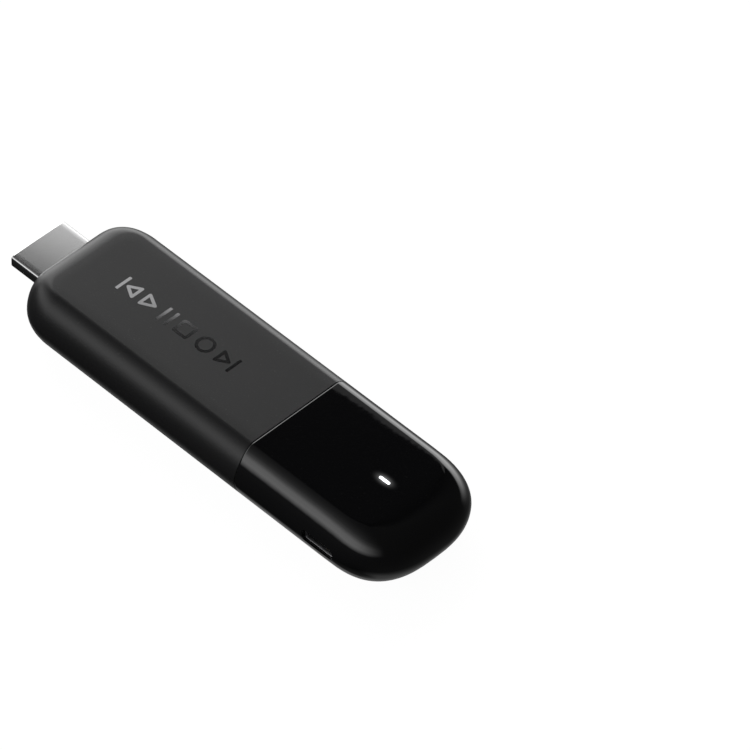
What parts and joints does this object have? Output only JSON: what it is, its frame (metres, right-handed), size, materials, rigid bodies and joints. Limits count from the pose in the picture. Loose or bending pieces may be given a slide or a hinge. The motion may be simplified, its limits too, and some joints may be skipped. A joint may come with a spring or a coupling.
{
  "type": "streaming media player",
  "caption": "Slim pebble-ended stick with an HDMI plug at one end, a matte sleeve, a gloss end cap with a status light, and a power socket in its side.",
  "frame": {"origin": "under the middle of the whole stick, plug included, on the plane of the flat back face", "axes": "+X along the stick to the plug mouth, +Y to the side with the power socket, +Z out of the front face with the status light"},
  "size_m": [0.1068, 0.0312, 0.0141],
  "materials": {
    "sleeve_plastic": "fine spark-eroded texture, satin charcoal",
    "cap_plastic": "polished piano black",
    "connector_nickel": "satin nickel plate on stamped sheet",
    "stamped_steel": "tinned stamped sheet",
    "connector_resin": "moulded liquid-crystal polymer",
    "gold_plate": "gold flash on nickel",
    "board_laminate": "green solder mask",
    "chip_resin": "moulded epoxy",
    "carrier_plastic": "moulded, dark grey",
    "spreader_aluminium": "mill finish sheet",
    "thermal_pad": "soft silicone",
    "capacitor_resin": "moulded, ochre",
    "ferrite": "pressed ferrite",
    "light_diffuser": "lit white diffuser"
  },
  "bodies": {
    "root": {"matte_sleeve": "sleeve_plastic", "gloss_end_cap": "cap_plastic", "light_guide": "light_diffuser", "carrier_frame": "carrier_plastic", "main_board": "board_laminate", "board_screw_1": "stamped_steel", "board_screw_2": "stamped_steel", "plug_shell": "connector_nickel", "plug_insulator": "connector_resin", "plug_contact_01": "gold_plate", "plug_contact_02": "gold_plate", "plug_contact_03": "gold_plate", "plug_contact_04": "gold_plate", "plug_contact_05": "gold_plate", "plug_contact_06": "gold_plate", "plug_contact_07": "gold_plate", "plug_contact_08": "gold_plate", "plug_contact_09": "gold_plate", "plug_contact_10": "gold_plate", "plug_contact_11": "gold_plate", "plug_contact_12": "gold_plate", "plug_contact_13": "gold_plate", "plug_contact_14": "gold_plate", "plug_contact_15": "gold_plate", "plug_contact_16": "gold_plate", "plug_contact_17": "gold_plate", "plug_contact_18": "gold_plate", "plug_contact_19": "gold_plate", "socket_shell": "connector_nickel", "socket_tongue": "connector_resin", "socket_contact_1": "gold_plate", "socket_contact_2": "gold_plate", "socket_contact_3": "gold_plate", "socket_contact_4": "gold_plate", "socket_contact_5": "gold_plate", "processor": "chip_resin", "memory_chip": "chip_resin", "power_chip": "chip_resin", "clock_crystal": "stamped_steel", "wifi_module": "stamped_steel", "status_led": "light_diffuser", "capacitor_1": "capacitor_resin", "capacitor_2": "capacitor_resin", "power_inductor_1": "ferrite", "power_inductor_2": "ferrite", "shield_frame": "stamped_steel", "shield_lid": "stamped_steel", "processor_pad": "thermal_pad", "front_pad": "thermal_pad", "front_spreader": "spreader_aluminium", "flash_chip": "chip_resin", "back_pad": "thermal_pad", "back_spreader": "spreader_aluminium", "tip_antenna": "stamped_steel", "side_antenna": "stamped_steel"}
  },
  "joints": []
}
